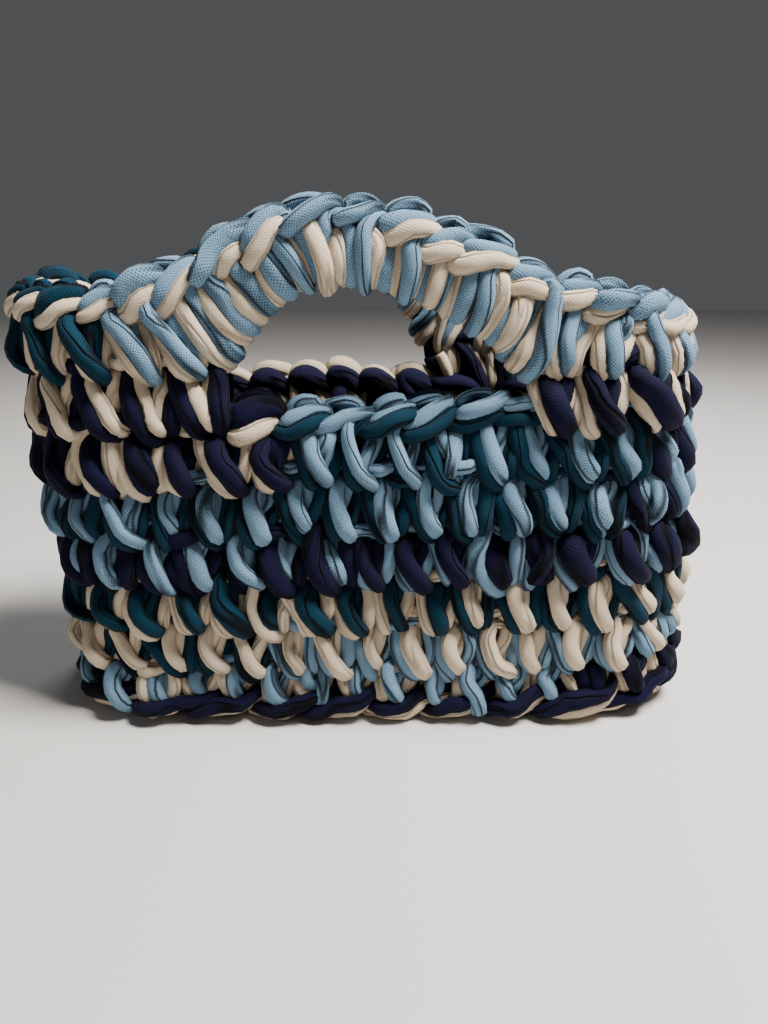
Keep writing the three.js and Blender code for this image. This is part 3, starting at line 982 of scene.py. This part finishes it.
def tube(points, radius, partner, closed):
    """Corners, faces and UVs of a tube. At each sample the side points to the partner strand,
    square to the run, and the corners stand around at even angles, nearer on that side. Each
    corner's reach also wanders along the run, as the folds of a rolled strip do."""
    tangent = direction(points, closed)
    side = partner - points
    side = unit(side - (side * tangent).sum(1, keepdims=True) * tangent)
    cross = np.cross(tangent, side)
    angle = np.arange(TUBE_SIDES) / TUBE_SIDES * 2 * np.pi
    flat = 1 - FLAT_TO_PARTNER * np.maximum(0, np.cos(angle)) ** 2
    folds = np.stack([wander(len(points), FOLD_SPACING, FOLD_SIZE) for _ in angle], 1)
    reach = radius[:, None] * flat[None] * (1 + folds)
    corners = (points[:, None] + side[:, None] * (OVAL[0] * np.cos(angle) * reach)[..., None]
               + cross[:, None] * (OVAL[1] * np.sin(angle) * reach)[..., None])
    rows = len(points)
    row = np.arange(rows if closed else rows - 1)
    next_row = (row + 1) % rows
    here = np.arange(TUBE_SIDES)
    there = (here + 1) % TUBE_SIDES
    quads = np.stack([
        row[:, None] * TUBE_SIDES + here, row[:, None] * TUBE_SIDES + there,
        next_row[:, None] * TUBE_SIDES + there, next_row[:, None] * TUBE_SIDES + here,
    ], -1).reshape(-1, 4)
    run = np.concatenate([[0], np.cumsum(np.linalg.norm(np.diff(points, axis=0), axis=1))])
    run_next = np.append(run[1:], run[-1] + np.linalg.norm(points[-1] - points[0]))[: len(row)]
    run_here = run[: len(row)]
    around = 2 * np.pi * YARN_RADIUS / TUBE_SIDES
    u_here = np.broadcast_to(here * around, (len(row), TUBE_SIDES))
    v_here = np.broadcast_to(run_here[:, None], u_here.shape)
    v_there = np.broadcast_to(run_next[:, None], u_here.shape)
    uvs = np.stack([
        np.stack([u_here, v_here], -1), np.stack([u_here + around, v_here], -1),
        np.stack([u_here + around, v_there], -1), np.stack([u_here, v_there], -1),
    ], 2).reshape(-1, 2)
    return corners.reshape(-1, 3), quads, uvs * MM


def fill_mesh(name, corners, quads, uvs, caps, colours):
    """A mesh from whole arrays of corners, four-sided faces and end caps."""
    mesh = bpy.data.meshes.new(name)
    mesh.vertices.add(len(corners))
    mesh.vertices.foreach_set("co", corners.ravel())
    loops = np.concatenate([quads.ravel(), caps.ravel()])
    mesh.loops.add(len(loops))
    mesh.loops.foreach_set("vertex_index", loops)
    totals = np.concatenate([np.full(len(quads), 4), np.full(len(caps), TUBE_SIDES)])
    mesh.polygons.add(len(totals))
    mesh.polygons.foreach_set("loop_start", np.concatenate([[0], np.cumsum(totals)[:-1]]))
    mesh.polygons.foreach_set("loop_total", totals)
    mesh.polygons.foreach_set("material_index", colours)
    mesh.polygons.foreach_set("use_smooth", np.ones(len(totals), dtype=bool))
    layer = mesh.uv_layers.new(name="yarn")
    flat = np.concatenate([uvs, np.zeros((caps.size, 2))])
    layer.data.foreach_set("uv", flat.ravel())
    mesh.update()
    mesh.validate()
    return mesh


def runs_of(mask, closed):
    """Start and end sample of each unbroken run of True, joined over the seam of a ring."""
    if mask.all():
        return [(0, len(mask), closed)]
    edges = np.flatnonzero(np.diff(np.concatenate([[0], mask.astype(int), [0]])))
    runs = [(s, e, False) for s, e in zip(edges[::2], edges[1::2])]
    if closed and mask[0] and mask[-1] and len(runs) > 1:
        first, last = runs[0], runs[-1]
        runs = runs[1:-1] + [(last[0], first[1] + len(mask), False)]
    return runs


def yarn_piece(node):
    """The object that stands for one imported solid: all runs of yarn with its name. It gives
    back the number of triangles."""
    corners, quads, uvs, caps, colours, cap_colours = [], [], [], [], [], []
    base = 0
    for number, line in enumerate(lines):
        mask = line["labels"] == node
        if not mask.any():
            continue
        partner = lines[number ^ 1]
        count = len(mask)
        for start, end, closed in runs_of(mask, line["closed"]):
            last = end if closed or (end == count and not line["closed"]) else end + 1
            index = np.arange(start, last) % count
            points = line["points"][index] + BASE_SHIFT
            beside = partner["points"][index] + BASE_SHIFT
            skin, faces, run_uvs = tube(points, line["radius"][index], beside, closed)
            skin[:, 2] = np.maximum(skin[:, 2], FLOOR_CLEARANCE)
            corners.append(skin * MM)
            quads.append(faces + base)
            uvs.append(run_uvs)
            rows = len(index) if closed else len(index) - 1
            colours.append(np.repeat(line["colour"][index[:rows]], TUBE_SIDES))
            if not closed:
                ring_start = base + np.arange(TUBE_SIDES)[::-1]
                ring_end = base + (len(index) - 1) * TUBE_SIDES + np.arange(TUBE_SIDES)
                caps += [ring_start, ring_end]
                cap_colours += [line["colour"][index[0]], line["colour"][index[-1]]]
            base += len(index) * TUBE_SIDES
    caps = np.array(caps, dtype=int).reshape(-1, TUBE_SIDES)
    colours = np.concatenate(colours + [np.array(cap_colours, dtype=int)]).astype(np.int32)
    mesh = fill_mesh(f"{node}_yarn", np.concatenate(corners), np.concatenate(quads),
                     np.concatenate(uvs), caps, colours)
    for material in materials:
        mesh.materials.append(material)
    piece = bpy.data.objects.new(f"{node}_yarn", mesh)
    bpy.context.scene.collection.objects.link(piece)
    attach(piece, "root")
    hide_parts(node)
    return len(mesh.loops) - 2 * len(mesh.polygons)


triangles = {node: yarn_piece(node) for node in sorted(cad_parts)}
print("triangles", sum(triangles.values()), triangles)

# %% [markdown]
# A plain pale floor and soft studio lamps. The main lamp stands high on the right and almost
# over the front wall, so its light only grazes the stitches and leaves the hollows dark. A broad
# weak one fills the shadows from the left.

# %% Floor and lights
FLOOR_REACH = 3.0
FLOOR_COLOUR = (0.55, 0.53, 0.51, 1)


def add_floor():
    """A plain pale square under the bag."""
    mesh = bpy.data.meshes.new("floor")
    corners = [(x * FLOOR_REACH, y * FLOOR_REACH, 0) for x, y in ((-1, -1), (1, -1), (1, 1), (-1, 1))]
    mesh.from_pydata(corners, [], [(0, 1, 2, 3)])
    floor = bpy.data.objects.new("floor", mesh)
    bpy.context.scene.collection.objects.link(floor)
    material = bpy.data.materials.new("pale floor")
    material.use_nodes = True
    surface = material.node_tree.nodes["Principled BSDF"]
    surface.inputs["Base Color"].default_value = FLOOR_COLOUR
    surface.inputs["Roughness"].default_value = 0.9
    mesh.materials.append(material)


def add_lamp(name, place, aim, power, size, colour):
    """A square area lamp at a place, turned to shine at the aim."""
    data = bpy.data.lights.new(name, "AREA")
    data.energy, data.size, data.color = power, size, colour
    lamp = bpy.data.objects.new(name, data)
    bpy.context.scene.collection.objects.link(lamp)
    lamp.location = place
    way = np.array(aim) - np.array(place)
    flat = math.hypot(way[0], way[1])
    lamp.rotation_euler = (math.atan2(flat, -way[2]), 0, math.atan2(way[1], way[0]) - math.pi / 2)


# name, place, aim, power in watts, size, colour
LAMPS = (
    ("key", (0.5, -0.2, 1.15), (0, 0, 0.12), 54, 0.4, (1.0, 0.97, 0.93)),
    ("fill", (-0.9, -0.8, 0.5), (0, 0, 0.12), 1.0, 0.9, (0.9, 0.95, 1.0)),
    ("rear", (0.2, 0.9, 0.8), (0, 0, 0.15), 5, 0.5, (1.0, 1.0, 1.0)),
)
WORLD_COLOUR = (0.85, 0.87, 0.9, 1)
WORLD_STRENGTH = 0.1

add_floor()
for lamp in LAMPS:
    add_lamp(*lamp)
world = bpy.data.worlds.new("studio")
world.use_nodes = True
world.node_tree.nodes["Background"].inputs["Color"].default_value = WORLD_COLOUR
world.node_tree.nodes["Background"].inputs["Strength"].default_value = WORLD_STRENGTH
bpy.context.scene.world = world
print("lamps", len(bpy.data.lights))
